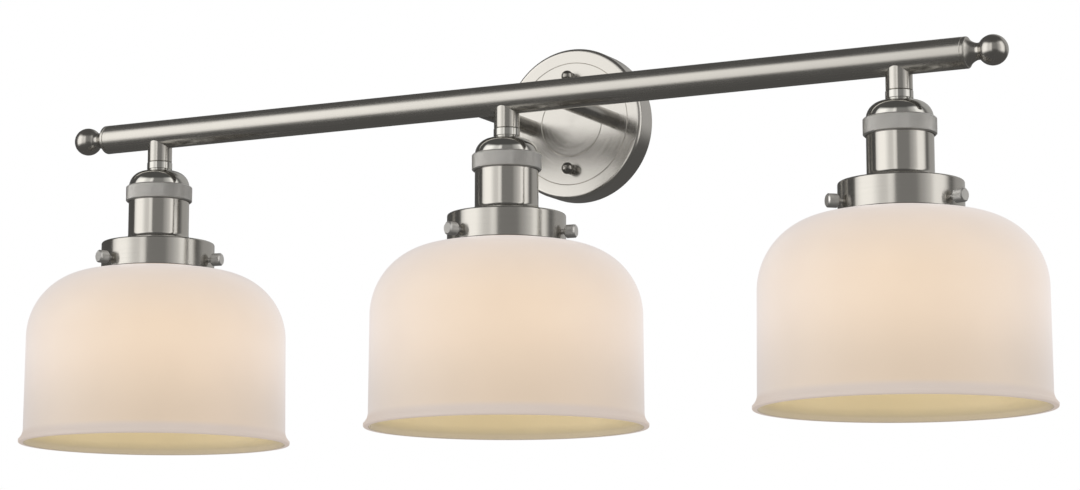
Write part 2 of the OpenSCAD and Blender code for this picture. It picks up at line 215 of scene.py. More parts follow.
def drill(piece: Piece, radius: float, low: float, high: float, place: Matrix) -> None:
    """Drills a round hole.

    Args:
        piece: the mesh to drill.
        radius: radius of the hole in millimetres.
        low: start of the hole along the drill's axis.
        high: end of the hole along the drill's axis.
        place: turns and moves the upright drill to its place.
    """
    tool = turn("drill", [(0, low), (radius, low), (radius, high), (0, high)], DRILL_STEPS)
    tool.data.transform(place)
    cut(piece, tool)


def cope(piece: Piece, height: float) -> None:
    """Cuts the bar's round out of an upright piece's top.

    Args:
        piece: the mesh to cut.
        height: height of the bar's axis in millimetres.
    """
    reach = 30
    drill(piece, BAR_RADIUS, -reach, reach, Matrix.Translation((0, 0, height * MM)) @ Facing.RIGHT.value)


def join(pieces: Sequence[Piece]) -> Piece:
    """Joins pieces into one.

    Args:
        pieces: the meshes to join.

    Returns:
        The first of them, which holds them all.
    """
    pick_up(pieces[0])
    for piece in pieces:
        piece.select_set(True)
    bpy.ops.object.join()
    return pieces[0]


def copy_of(piece: Piece, name: str, place: Matrix) -> Piece:
    """Copies a piece with its own mesh and puts the copy in its place.

    Args:
        piece: the piece to copy.
        name: name of the copy.
        place: where the copy goes, from the origin.

    Returns:
        The copy.
    """
    twin = piece.copy()
    twin.data = piece.data.copy()
    twin.name = twin.data.name = name
    bpy.context.scene.collection.objects.link(twin)
    twin.data.transform(place)
    return twin


def knurled_sleeve(
    name: str, radius: float, low: float, high: float, columns: int, rows: int, height: float, edge: float, bore: float
) -> Piece:
    """Makes a ring whose outside is cut into small diamonds.

    Args:
        name: name of the new piece.
        radius: radius at the foot of the diamonds.
        low: height of the ring's lower face.
        high: height of the ring's upper face.
        columns: diamonds round the ring.
        rows: diamonds from the lower to the upper edge.
        height: how far each diamond stands out.
        edge: width of the plain chamfer at each face.
        bore: radius of the hole through the ring.

    Returns:
        The new ring, closed.
    """
    put_down()
    bottom, top = (low + edge) * MM, (high - edge) * MM
    bpy.ops.mesh.primitive_circle_add(vertices=columns, radius=radius * MM, location=(0, 0, bottom))
    ring = bpy.context.object
    ring.name = ring.data.name = name
    bpy.ops.object.transform_apply()
    edit(ring)
    for _ in range(rows):
        bpy.ops.mesh.extrude_region_move(TRANSFORM_OT_translate={"value": (0, 0, (top - bottom) / rows)})
    squares = columns * (rows + 1)
    bpy.ops.mesh.select_all(action="SELECT")
    bpy.ops.mesh.poke()
    pick_inner_edges(ring, squares, bottom, top)
    bpy.ops.mesh.dissolve_edges(use_verts=False)
    bpy.ops.mesh.select_all(action="SELECT")
    bpy.ops.mesh.normals_make_consistent(inside=False)
    bpy.ops.mesh.poke(offset=height * MM)
    for level, away in ((top, 1), (bottom, -1)):
        select_points(ring, lambda place: abs(place.z - level) < SAME_LEVEL)
        widths = ((radius - edge) / radius, bore / (radius - edge))
        for width, rise in zip(widths, (edge, 0)):
            bpy.ops.mesh.extrude_region_move(TRANSFORM_OT_translate={"value": (0, 0, away * rise * MM)})
            bpy.ops.transform.resize(value=(width, width, 1), center_override=(0, 0, 0))
        if away > 0:
            bpy.ops.mesh.extrude_region_move(TRANSFORM_OT_translate={"value": (0, 0, (low - high) * MM)})
    tidy_surface(ring)
    return ring


def pick_inner_edges(ring: Piece, squares: int, bottom: float, top: float) -> None:
    """Selects the first square grid's edges between the two rims of a poked band.

    Args:
        ring: the band, open in edit mode.
        squares: how many vertices the grid had before it was poked.
        bottom: height of the lower rim.
        top: height of the upper rim.
    """
    bpy.ops.mesh.select_mode(type="EDGE")
    bpy.ops.mesh.select_all(action="DESELECT")
    bpy.ops.object.mode_set(mode="OBJECT")
    places = ring.data.vertices
    for line in ring.data.edges:
        ends = [places[i].co.z for i in line.vertices]
        on_rim = any(all(abs(z - rim) < SAME_LEVEL for z in ends) for rim in (bottom, top))
        line.select = max(line.vertices) < squares and not on_rim
    bpy.ops.object.mode_set(mode="EDIT")


# ---- finishes


class Grain(Enum):
    """Which way the brushing runs."""

    ALONG_BAR = "lengthwise"
    ROUND_LAMP = "round an upright axis"
    ROUND_PLATE = "in circles on the wall plate"
    EVEN = "no direction"


class NodeBench:
    """Short hand for building the nodes of one material or world."""

    def __init__(self, owner: Material | bpy.types.World) -> None:
        """Starts on the owner's own nodes.

        Args:
            owner: a new material, or a new world.
        """
        owner.use_nodes = True
        self.owner = owner
        self.nodes, self.links = owner.node_tree.nodes, owner.node_tree.links
        self.shader = next((node for node in self.nodes if node.type == "BSDF_PRINCIPLED"), None)
        self.places: Output | None = None

    def add(self, kind: str, **settings: object) -> bpy.types.Node:
        """Adds a node.

        Args:
            kind: the node's type.
            settings: the node's own properties.

        Returns:
            The new node.
        """
        node = self.nodes.new(kind)
        for key, value in settings.items():
            setattr(node, key, value)
        return node

    def feed(self, node: bpy.types.Node, socket: str | int, value: object) -> None:
        """Links an output to an input, or sets the input to a plain value.

        Args:
            node: the node that takes the value.
            socket: name or number of its input.
            value: an output to link, or a plain value.
        """
        if isinstance(value, Output):
            self.links.new(value, node.inputs[socket])
        else:
            node.inputs[socket].default_value = value

    def wire(self, node: bpy.types.Node, output: str | int, *values: object) -> Output:
        """Feeds a node's first inputs in order.

        Args:
            node: the node to feed.
            output: name or number of the output that is wanted.
            values: outputs to link, or plain values.

        Returns:
            That output.
        """
        for index, value in enumerate(values):
            self.feed(node, index, value)
        return node.outputs[output]

    def object_places(self) -> Output:
        """The piece's own coordinates, in metres."""
        if self.places is None:
            self.places = self.add("ShaderNodeTexCoord").outputs["Object"]
        return self.places

    def object_axes(self) -> Iterable[Output]:
        """The piece's own x, y and z, in metres."""
        parts = self.add("ShaderNodeSeparateXYZ")
        self.feed(parts, 0, self.object_places())
        return parts.outputs

    def math(self, operation: str, *values: object) -> Output:
        """Adds a Math node and returns its result."""
        return self.wire(self.add("ShaderNodeMath", operation=operation), 0, *values)

    def spread(self, value: Output, low: float, high: float, to_low: float, to_high: float,
               curve: str = "LINEAR") -> Output:
        """Maps a value from one range to another, and returns the result."""
        return self.wire(self.add("ShaderNodeMapRange", interpolation_type=curve), 0, value, low, high, to_low, to_high)

    def noise(self, vector: Output, scale: float = 1.0, detail: float = 2.0) -> Output:
        """Adds a noise pattern.

        Args:
            vector: coordinates that the pattern follows.
            scale: how fine it is on them.
            detail: how many finer patterns lie over it.

        Returns:
            Its value, from 0 to 1.
        """
        node = self.add("ShaderNodeTexNoise")
        for socket, value in (("Vector", vector), ("Scale", scale), ("Detail", detail)):
            self.feed(node, socket, value)
        return node.outputs["Fac"]

    def stretch(self, scale: float | tuple[float, float, float]) -> Output:
        """Stretches the piece's coordinates.

        Args:
            scale: one number, or one for each axis.

        Returns:
            The stretched coordinates.
        """
        node = self.add("ShaderNodeMapping")
        self.feed(node, "Vector", self.object_places())
        self.feed(node, "Scale", scale if isinstance(scale, tuple) else (scale,) * 3)
        return node.outputs[0]

    def mix_colors(self, amount: Output, first: object, second: object) -> Output:
        """Blends two colours.

        Args:
            amount: 0 for the first colour and 1 for the second.
            first: an output or a plain colour.
            second: an output or a plain colour.

        Returns:
            The blend.
        """
        node = self.add("ShaderNodeMix", data_type="RGBA")
        for socket, value in ((0, amount), (6, first), (7, second)):
            self.feed(node, socket, value)
        return node.outputs[2]

    def vary_color(self, amount: Output, color: Color, share: float) -> None:
        """Gives the shader a base colour that a pattern makes a little darker and lighter.

        Args:
            amount: the pattern, from 0 to 1.
            color: the middle colour.
            share: how much darker or lighter it gets, from 0 to 1.
        """
        blend = self.mix_colors(amount, opaque(color, 1 - share), opaque(color, 1 + share))
        self.feed(self.shader, "Base Color", blend)

    def vary_roughness(self, amount: Output, low: float, high: float) -> None:
        """Gives the shader a roughness that a pattern's middle part spreads over a range."""
        self.feed(self.shader, "Roughness", self.spread(amount, 0.3, 0.7, low, high))

    def bump(self, height: Output, strength: float, distance: float) -> None:
        """Gives the shader a bump from a height pattern.

        Args:
            height: the pattern.
            strength: strength from 0 to 1.
            distance: depth of the pattern in millimetres.
        """
        node = self.add("ShaderNodeBump")
        for socket, value in (("Strength", strength), ("Distance", distance * MM), ("Height", height)):
            self.feed(node, socket, value)
        self.links.new(node.outputs[0], self.shader.inputs["Normal"])

    def constants(self, **values: object) -> None:
        """Sets plain values on the shader's own sockets; an underscore stands for a space."""
        for name, value in values.items():
            self.shader.inputs[name.replace("_", " ")].default_value = value


def opaque(color: Color, share: float = 1.0) -> tuple[float, float, float, float]:
    """A colour, made lighter or darker, with full alpha."""
    return (color[0] * share, color[1] * share, color[2] * share, 1.0)


@dataclass(frozen=True)
class BrushedMetal:
    """A satin plated metal with fine brushed lines."""

    name: str
    color: Color
    grain: Grain
    roughness: float = 0.24
    contrast: float = 0.12
    anisotropy: float = 0.55
    line_depth: float = 0.012

    def lines(self, bench: NodeBench) -> Output:
        """Lays the pattern of brushed lines.

        Args:
            bench: the material's nodes.

        Returns:
            The pattern, from 0 to 1.
        """
        if self.grain is Grain.ROUND_PLATE:
            fine, broad = self.circles(bench, 2600), self.circles(bench, 500)
        else:
            scales = {Grain.ALONG_BAR: ((5, 2600, 2600), (2, 500, 500)),
                      Grain.ROUND_LAMP: ((14, 14, 3600), (7, 7, 900)), Grain.EVEN: (900, 120)}[self.grain]
            fine, broad = (bench.stretch(scale) for scale in scales)
        return bench.math("ADD", bench.math("MULTIPLY", bench.noise(fine, detail=3.0), 0.6),
                          bench.math("MULTIPLY", bench.noise(broad), 0.4))

    def circles(self, bench: NodeBench, scale: float) -> Output:
        """Lays coordinates round the plate's centre.

        Args:
            bench: the material's nodes.
            scale: how fine the first axis is, which is the distance from the centre.

        Returns:
            The coordinates.
        """
        drift = 12.0
        x, y, z = bench.object_axes()
        away = bench.math("SQRT", bench.math("ADD", bench.math("MULTIPLY", x, x), bench.math("MULTIPLY", z, z)))
        return bench.wire(bench.add("ShaderNodeCombineXYZ"), 0, bench.math("MULTIPLY", away, scale),
                          bench.math("MULTIPLY", x, drift), bench.math("MULTIPLY", bench.math("ADD", y, z), drift))

    def material(self) -> Material:
        """Builds the material."""
        bench = NodeBench(bpy.data.materials.new(self.name))
        bench.constants(Metallic=1.0, Anisotropic=self.anisotropy)
        lines = self.lines(bench)
        cloud = bench.noise(bench.stretch(40))
        bench.vary_color(lines, self.color, self.contrast)
        rough = bench.math("ADD", bench.spread(lines, 0.3, 0.7, self.roughness - 0.04, self.roughness + 0.05),
                           bench.spread(cloud, 0.3, 0.7, -0.015, 0.02))
        bench.feed(bench.shader, "Roughness", rough)
        if self.grain is not Grain.EVEN:
            axis = {Grain.ALONG_BAR: "X", Grain.ROUND_LAMP: "Z", Grain.ROUND_PLATE: "Y"}[self.grain]
            tangent = bench.add("ShaderNodeTangent", direction_type="RADIAL", axis=axis)
            bench.links.new(tangent.outputs[0], bench.shader.inputs["Tangent"])
        if self.grain in (Grain.ROUND_LAMP, Grain.ROUND_PLATE):
            bench.constants(Anisotropic_Rotation=0.25)
        bench.bump(lines, 0.35, self.line_depth)
        return bench.owner


@dataclass(frozen=True)
class PlainMetal:
    """A smooth or cast metal with faint stains and wear."""

    name: str
    color: Color
    roughness: float
    stain: float = 0.1
    stain_size: float = 90.0

    def material(self) -> Material:
        """Builds the material."""
        bench = NodeBench(bpy.data.materials.new(self.name))
        bench.constants(Metallic=1.0)
        stains = bench.noise(bench.stretch(self.stain_size), detail=4.0)
        bench.vary_color(stains, self.color, self.stain)
        bench.vary_roughness(stains, self.roughness * 0.8, self.roughness * 1.25)
        bench.bump(bench.noise(bench.stretch(1800)), 0.1, 0.01)
        return bench.owner


@dataclass(frozen=True)
class PlainCoat:
    """A glazed, painted or moulded surface."""

    name: str
    color: Color
    roughness: float
    coat: float = 0.0
    mottle: float = 0.04
    glow: float = 0.0

    def material(self) -> Material:
        """Builds the material."""
        bench = NodeBench(bpy.data.materials.new(self.name))
        bench.constants(Coat_Weight=self.coat, Coat_Roughness=0.08, Emission_Strength=self.glow)
        mottle = bench.noise(bench.stretch(160), detail=3.0)
        bench.vary_color(mottle, self.color, self.mottle)
        bench.vary_roughness(mottle, self.roughness * 0.85, self.roughness * 1.15)
        bench.bump(bench.noise(bench.stretch(1200)), 0.12, 0.02)
        return bench.owner


@dataclass(frozen=True)
class OpalGlass:
    """Cased opal glass, with the bulb's light through it painted on as a glow.

    The painted glow is strongest level with the bulb and fades to the shoulder and to the lip.
    It is whiter where the glass is seen at a slant, and whitest on the lip.
    """

    name: str
    color: Color
    glow: Color
    face_glow: Color
    lip_glow: Color
    strength: float
    bulb_height: float
    shoulder_height: float
    lip_height: float
    shoulder_share: float
    lip_share: float
    roughness: float = 0.3
    lip_blend: float = 5.0
    cloud: float = 0.015

    def material(self) -> Material:
        """Builds the material."""
        bench = NodeBench(bpy.data.materials.new(self.name))
        bench.constants(IOR=1.5, Specular_IOR_Level=0.22, Coat_Weight=0.05, Coat_Roughness=0.15)
        # painted glow: the bulb's light through the glass, laid on the surface as emission
        height = bench.object_axes()[2]
        ends = ((self.shoulder_height, self.shoulder_share), (self.lip_height, self.lip_share))
        above, below = (bench.spread(height, self.bulb_height * MM, end * MM, 1.0, share, "SMOOTHSTEP")
                        for end, share in ends)
        clouds = bench.noise(bench.stretch(26), detail=3.0)
        level = bench.math("MULTIPLY", bench.math("MULTIPLY", above, below),
                           bench.spread(clouds, 0.3, 0.7, 1 - self.cloud, 1 + self.cloud))
        bench.feed(bench.shader, "Emission Strength", bench.math("MULTIPLY", level, self.strength))
        facing = bench.add("ShaderNodeLayerWeight")
        bench.feed(facing, "Blend", 0.5)
        tint = bench.mix_colors(facing.outputs["Facing"], opaque(self.face_glow), opaque(self.glow))
        on_lip = bench.spread(height, self.lip_height * MM, (self.lip_height + self.lip_blend) * MM, 1.0, 0.0,
                              "SMOOTHSTEP")
        bench.feed(bench.shader, "Emission Color", bench.mix_colors(on_lip, tint, opaque(self.lip_glow)))
        bench.vary_color(clouds, self.color, self.cloud)
        bench.vary_roughness(clouds, self.roughness - 0.03, self.roughness + 0.03)
        bench.bump(bench.noise(bench.stretch((30, 30, 9))), 0.1, 0.25)
        return bench.owner


@dataclass(frozen=True)
class LitBulb:
    """Frosted glass with a lamp burning behind it."""

    name: str
    color: Color
    strength: float
    neck_height: float
    globe_height: float
    neck_share: float = 0.35

    def material(self) -> Material:
        """Builds the material."""
        bench = NodeBench(bpy.data.materials.new(self.name))
        bench.constants(Roughness=0.45, Emission_Color=opaque(self.color))
        level = bench.spread(bench.object_axes()[2], self.neck_height * MM, self.globe_height * MM,
                             self.neck_share, 1.0, "SMOOTHSTEP")
        frost = bench.noise(bench.stretch(500))
        bench.feed(bench.shader, "Base Color", bench.mix_colors(frost, (0.86, 0.85, 0.82, 1), (0.93, 0.92, 0.9, 1)))
        bench.feed(bench.shader, "Emission Strength", bench.math("MULTIPLY", level, self.strength))
        bench.bump(frost, 0.15, 0.02)
        return bench.owner


NICKEL = (0.62, 0.60, 0.565)
SATIN_BAR = BrushedMetal("satin_nickel_lengthwise", NICKEL, Grain.ALONG_BAR)
SATIN_ROUND = BrushedMetal("satin_nickel_round", NICKEL, Grain.ROUND_LAMP, roughness=0.2, anisotropy=0.8)
SATIN_SHELL = BrushedMetal("satin_nickel_shell", NICKEL, Grain.ROUND_LAMP, roughness=0.15, contrast=0.07,
                           anisotropy=0.75)
# The wall plate's nickel is painted lighter than the rest: painted light on the same metal.
LIT_SATIN_PLATE = BrushedMetal("satin_nickel_circles_painted_light", (0.70, 0.68, 0.645), Grain.ROUND_PLATE, roughness=0.22,
                           contrast=0.05, line_depth=0.003)
SATIN_EVEN = BrushedMetal("satin_nickel_even", NICKEL, Grain.EVEN, roughness=0.2, contrast=0.05, anisotropy=0.0)
# The arms' nickel is painted darker than the rest: painted shade on the same metal.
SHADED_SATIN_ARM = BrushedMetal("satin_nickel_arms_painted_shade", (0.46, 0.445, 0.42), Grain.EVEN, roughness=0.22, contrast=0.06,
                         anisotropy=0.0)
# The ball nuts' nickel is painted darker: painted shade on the same metal.
SHADED_BALL_NUT = PlainMetal("ball_nut_nickel_painted_shade", (0.40, 0.385, 0.36), 0.16, 0.06)
# The knurled nickel is painted far lighter than the rest: painted light that brightens the knurl.
LIT_KNURL = BrushedMetal("knurled_nickel", (0.93, 0.915, 0.89), Grain.EVEN, roughness=0.36, contrast=0.04,
                       anisotropy=0.0)
POLISHED = PlainMetal("polished_nickel", (0.66, 0.65, 0.62), 0.07, 0.03)
ZINC = PlainMetal("zinc_plate", (0.62, 0.64, 0.66), 0.34, 0.16)
BRASS = PlainMetal("plain_brass", (0.72, 0.55, 0.28), 0.26, 0.14)
ALUMINIUM = PlainMetal("rolled_aluminium", (0.72, 0.72, 0.70), 0.28, 0.1)
GREEN = PlainCoat("green_screw", (0.05, 0.26, 0.09), 0.35, 0.3)
PORCELAIN = PlainCoat("glazed_porcelain", (0.86, 0.83, 0.76), 0.2, 0.8)
BLACK_SLEEVE = PlainCoat("black_insulation", (0.015, 0.015, 0.016), 0.45)
WHITE_SLEEVE = PlainCoat("white_insulation", (0.8, 0.79, 0.75), 0.45)
# Both opal finishes carry the bulb's light through the glass as a painted glow, outside and inside.
OPAL_OUTSIDE = OpalGlass("opal_outside", (0.28, 0.275, 0.27), (0.95, 0.87, 0.845), (0.994, 0.772, 0.564),
                         (0.88, 0.74, 0.65), 0.755, -165, -108, -232, 0.90, 0.78, 0.38)
OPAL_INSIDE = OpalGlass("opal_inside", (0.60, 0.55, 0.45), (0.90, 0.74, 0.45), (0.90, 0.74, 0.45),
                        (0.84, 0.72, 0.56), 0.46, -150, -105, -236, 1.1, 0.62)
BULB_GLOW = LitBulb("lit_frosted_bulb", (1.0, 0.88, 0.64), 2.5, -98, -135)


# ---- joining the frame


RECORD = frame["record"]
BODY_OF = {node: body for body, nodes in RECORD["behaviour"]["bodies"].items() for node in nodes}


def middle(node: str) -> Vector:
    """The middle of a CAD node's box."""
    low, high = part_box(node)
    return (low + high) / 2


def dress(piece: Piece, *materials: Material) -> None:
    """Gives a piece its materials in place of any that it had.

    Args:
        piece: the piece to dress.
        materials: its materials, in the order of their numbers.
    """
    piece.data.materials.clear()
    for material in materials:
        piece.data.materials.append(material)


def stand_for(piece: Piece, node: str) -> None:
    """Lets a new piece stand for a CAD node: hides the node and puts the piece on the node's body.

    Args:
        piece: the new piece, in its place.
        node: the node that it stands for.
    """
    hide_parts(node)
    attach(piece, BODY_OF[node])
    log.info("%s stands for %s on %s, %d faces", piece.name, node, BODY_OF[node], len(piece.data.polygons))


def dress_nodes(nodes: Iterable[str], material: Material) -> None:
    """Gives CAD nodes that stay in view their finish.

    Args:
        nodes: the nodes' names.
        material: their finish.
    """
    for node in nodes:
        dress(frame["nodes"][node], material)
        log.info("%s keeps its frame shape", node)


class Facing(Enum):
    """Turns an upright piece so that its top points another way."""

    UP = Matrix.Identity(4)
    FROM_WALL = Matrix.Rotation(math.radians(90), 4, "X")
    RIGHT = Matrix.Rotation(math.radians(90), 4, "Y")
    LEFT = Matrix.Rotation(math.radians(-90), 4, "Y")


def at(place: Vector, facing: Facing = Facing.UP) -> Matrix:
    """Where a piece goes: turned, then moved, in metres."""
    return Matrix.Translation(place) @ facing.value


BAR_AXIS = Vector((0, middle("bar").y, 0))


# ---- wall plate and arms


@dataclass
class WallPlate:
    """The round pan on the wall, its ball nuts and what is behind it."""

    radius: float = 57.5
    depth: float = 20.0
    wall: float = 1.2
    edge: float = 3.0
    ring_radii: tuple[float, float] = (46.4, 25.0)
    groove_width: float = 0.7
    groove_depth: float = 0.45
    arm_hole: float = 5.0
    stud_hole: float = 2.2
    ball_radius: float = 4.5
    ball_height: float = 27.0
    ball_neck: float = 3.1
    ball_seat: float = 0.05
    foot_radius: float = 3.9
    foot_height: float = 0.8
    foot_slope: float = 1.2
    stud_fit: float = 2.1
    bore_tip: float = 1.0

    def outline(self) -> Outline:
        """The pan's section, from the middle of its face round the rim and back inside."""
        face, half = self.depth, self.groove_width / 2
        grooves = []
        for radius in self.ring_radii:
            grooves += [(radius + half, face), (radius, face - self.groove_depth), (radius - half, face)]
        corner = (self.radius - self.edge, face - self.edge)
        outside = [(self.radius, 0)] + arc(corner, self.edge, 0, 90) + grooves + [(0, face)]
        inside = [(0, face - self.wall)] + arc(corner, self.edge - self.wall, 90, 0, 5) + [(self.radius - self.wall, 0)]
        return outside + inside + outside[:1]

    def build_pan(self) -> Piece:
        """Turns the pan and drills its four holes."""
        pan = turn("wall_plate_pan", self.outline(), 160)
        for node, radius in (("arm_left", self.arm_hole), ("arm_right", self.arm_hole),
                             ("ball_nut_top", self.stud_hole), ("ball_nut_bottom", self.stud_hole)):
            place = middle(node)
            drill(pan, radius, -OVERSHOOT, self.depth + OVERSHOOT, Matrix.Translation((place.x, -place.z, 0)))
        smooth(pan, 25)
        pan.data.transform(Facing.FROM_WALL.value)
        return pan

    def build_ball_nut(self) -> Piece:
        """Turns a ball on a short neck with a foot, bored for the stud."""
        start = math.degrees(math.asin(self.ball_neck / self.ball_radius))
        low = self.depth + self.ball_seat
        outline = [(self.stud_fit, low), (self.foot_radius, low), (self.foot_radius, low + self.foot_height),
                   (self.ball_neck, low + self.foot_slope)]
        outline += arc((0, self.ball_height), self.ball_radius, start - 90, 90, 20)
        outline += [(0, self.ball_height + self.bore_tip), (self.stud_fit, self.ball_height), (self.stud_fit, low)]
        return turn("ball_nut", outline, 48)

    def build(self) -> None:
        """Makes the plate and its nuts, and dresses the strap, studs and screws behind."""
        pan = self.build_pan()
        dress(pan, LIT_SATIN_PLATE.material())
        stand_for(pan, "backplate")
        nut = self.build_ball_nut()
        smooth(nut)
        dress(nut, SHADED_BALL_NUT.material())
        for name in ("ball_nut_top", "ball_nut_bottom"):
            place = Vector((0, 0, middle(name).z))
            stand_for(copy_of(nut, name + "_turned", at(place, Facing.FROM_WALL)), name)
        bpy.data.objects.remove(nut)
        dress_nodes(("crossbar", "mounting_studs", "stud_nuts"), ZINC.material())
        dress_nodes(("ground_screw",), GREEN.material())


@dataclass
class Arms:
    """Two straight tubes from the plate to the back of the bar."""

    radius: float = 6.0
    bore: float = 3.4
    spigot_radius: float = 4.8
    spigot_low: float = 12.0
    shoulder: float = 20.0
    chamfer: float = 0.4
    lead_in: float = 0.6
    pitch: float = 0.95
    thread_depth: float = 0.35

    def build(self) -> None:
        """Turns one arm, copes it to the bar, and copies it to both sides."""
        reach = -BAR_AXIS.y / MM
        outline = [(self.bore, self.spigot_low), (self.spigot_radius, self.spigot_low)] + self.thread()
        outline += [(self.spigot_radius, self.shoulder), (self.radius - self.chamfer, self.shoulder),
                    (self.radius, self.shoulder + self.chamfer), (self.radius, reach), (self.bore, reach),
                    (self.bore, self.spigot_low)]
        arm = turn("arm", outline, 64)
        cope(arm, reach)
        smooth(arm, 30)
        dress(arm, SHADED_SATIN_ARM.material())
        for node in ("arm_left", "arm_right"):
            place = Vector((middle(node).x, 0, 0))
            stand_for(copy_of(arm, node + "_tube", at(place, Facing.FROM_WALL)), node)
        bpy.data.objects.remove(arm)
        dress_nodes(("arm_nuts",), BRASS.material())

    def thread(self) -> Outline:
        """Lays small ridges along the threaded end.

        Returns:
            Their crests and roots, from the spigot's end to the shoulder.
        """
        low, high = self.spigot_low + self.lead_in, self.shoulder - self.chamfer
        ridges = []
        for index in range(int((high - low) / self.pitch)):
            foot = low + index * self.pitch
            ridges += [(self.spigot_radius, foot + self.pitch * 0.25),
                       (self.spigot_radius - self.thread_depth, foot + self.pitch * 0.75)]
        return ridges


# ---- bar


@dataclass
class Bar:
    """The long tube with a coved cap and a ball at each end."""

    radius: float = BAR_RADIUS
    bore: float = 9.4
    tube_chamfer: float = 0.35
    tube_loops: int = 12
    loops_share: float = 0.98
    seam_back: float = 20.2
    shoulder_back: float = 17.3
    shoulder_round: float = 1.0
    waist_back: float = 10.9
    waist: float = 5.8
    cove: float = 12.0
    plug_length: float = 12.0
    plug_fit: float = 0.1
    seam_depth: float = 0.5
    seam_width: float = 0.3
    ball_radius: float = 10.5
    ball_seat: float = 0.02
    fillet_height: float = 0.6
    fillet_turn: float = 3.0

    def tube_outline(self, half: float) -> Outline:
        """Draws the tube's section, with small chamfers at its ends.

        Args:
            half: half the tube's length in millimetres.

        Returns:
            The section, closed.
        """
        chamfer, count = self.tube_chamfer, self.tube_loops
        loops = [(self.radius, half * (2 * i / count - 1) * self.loops_share) for i in range(count + 1)]
        return ([(self.bore, -half), (self.radius - chamfer, -half), (self.radius, chamfer - half)] + loops
                + [(self.radius, half - chamfer), (self.radius - chamfer, half), (self.bore, half), (self.bore, -half)])

    def cap_outline(self) -> Outline:
        """Draws the end cap's section: plug, seam, collar, small shoulder, cove and waist.

        Returns:
            The section, from the plug to the waist, with the ball's middle as its zero.
        """
        collar = self.shoulder_back + self.shoulder_round
        plug, seam = self.bore - self.plug_fit, self.radius - self.seam_depth
        outline = [(0, -self.seam_back - self.plug_length), (plug, -self.seam_back - self.plug_length),
                   (plug, -self.seam_back), (seam, -self.seam_back), (seam, self.seam_width - self.seam_back),
                   (self.radius, 2 * self.seam_width - self.seam_back), (self.radius, -collar)]
        corner = (self.radius - self.shoulder_round, -collar)
        outline += arc(corner, self.shoulder_round, 8, 78, 6)
        start = Vector((corner[0], -self.shoulder_back))
        end = Vector((self.waist, -self.waist_back))
        chord = end - start
        across = Vector((chord.y, -chord.x)).normalized()
        center = (start + end) / 2 + across * math.sqrt(self.cove ** 2 - chord.length_squared / 4)
        turns = [math.degrees(math.atan2(point.y - center.y, point.x - center.x)) for point in (start, end)]
        outline += arc((center.x, center.y), self.cove, *turns, 12)
        return outline + [(0, -self.waist_back)]

    def ball_outline(self) -> Outline:
        """The ball's section, with a short neck that a small fillet joins to it."""
        start = math.degrees(math.asin(self.waist / self.ball_radius)) - 90
        low = self.ball_seat - self.waist_back
        neck_top = -math.cos(math.radians(start + 90)) * self.ball_radius - self.fillet_height
        return ([(0, low), (self.waist, low), (self.waist, neck_top)]
                + arc((0, 0), self.ball_radius, start + self.fillet_turn, 90, 28))

    def build(self) -> None:
        """Makes the tube and both ends."""
        low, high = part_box("bar")
        tube = turn("bar_tube", self.tube_outline((high.x - low.x) / MM / 2), 96)
        smooth(tube, 30)
        tube.data.transform(at(BAR_AXIS, Facing.RIGHT))
        satin = SATIN_BAR.material()
        dress(tube, satin)
        stand_for(tube, "bar")
        cap = turn("end_cap", self.cap_outline(), 96)
        ball = turn("ball", self.ball_outline(), 96)
        even = SATIN_EVEN.material()
        for piece, finish in ((cap, satin), (ball, even)):
            smooth(piece, 30)
            dress(piece, finish)
        reach = high.x + self.seam_back * MM
        for side, facing, sign in (("left", Facing.LEFT, -1), ("right", Facing.RIGHT, 1)):
            place = at(BAR_AXIS + Vector((sign * reach, 0, 0)), facing)
            stand_for(copy_of(cap, f"end_cap_{side}_coved", place), f"end_cap_{side}")
            stand_for(copy_of(ball, f"ball_finial_{side}_turned", place), f"ball_finial_{side}")
        bpy.data.objects.remove(cap)
        bpy.data.objects.remove(ball)


# ---- lamps


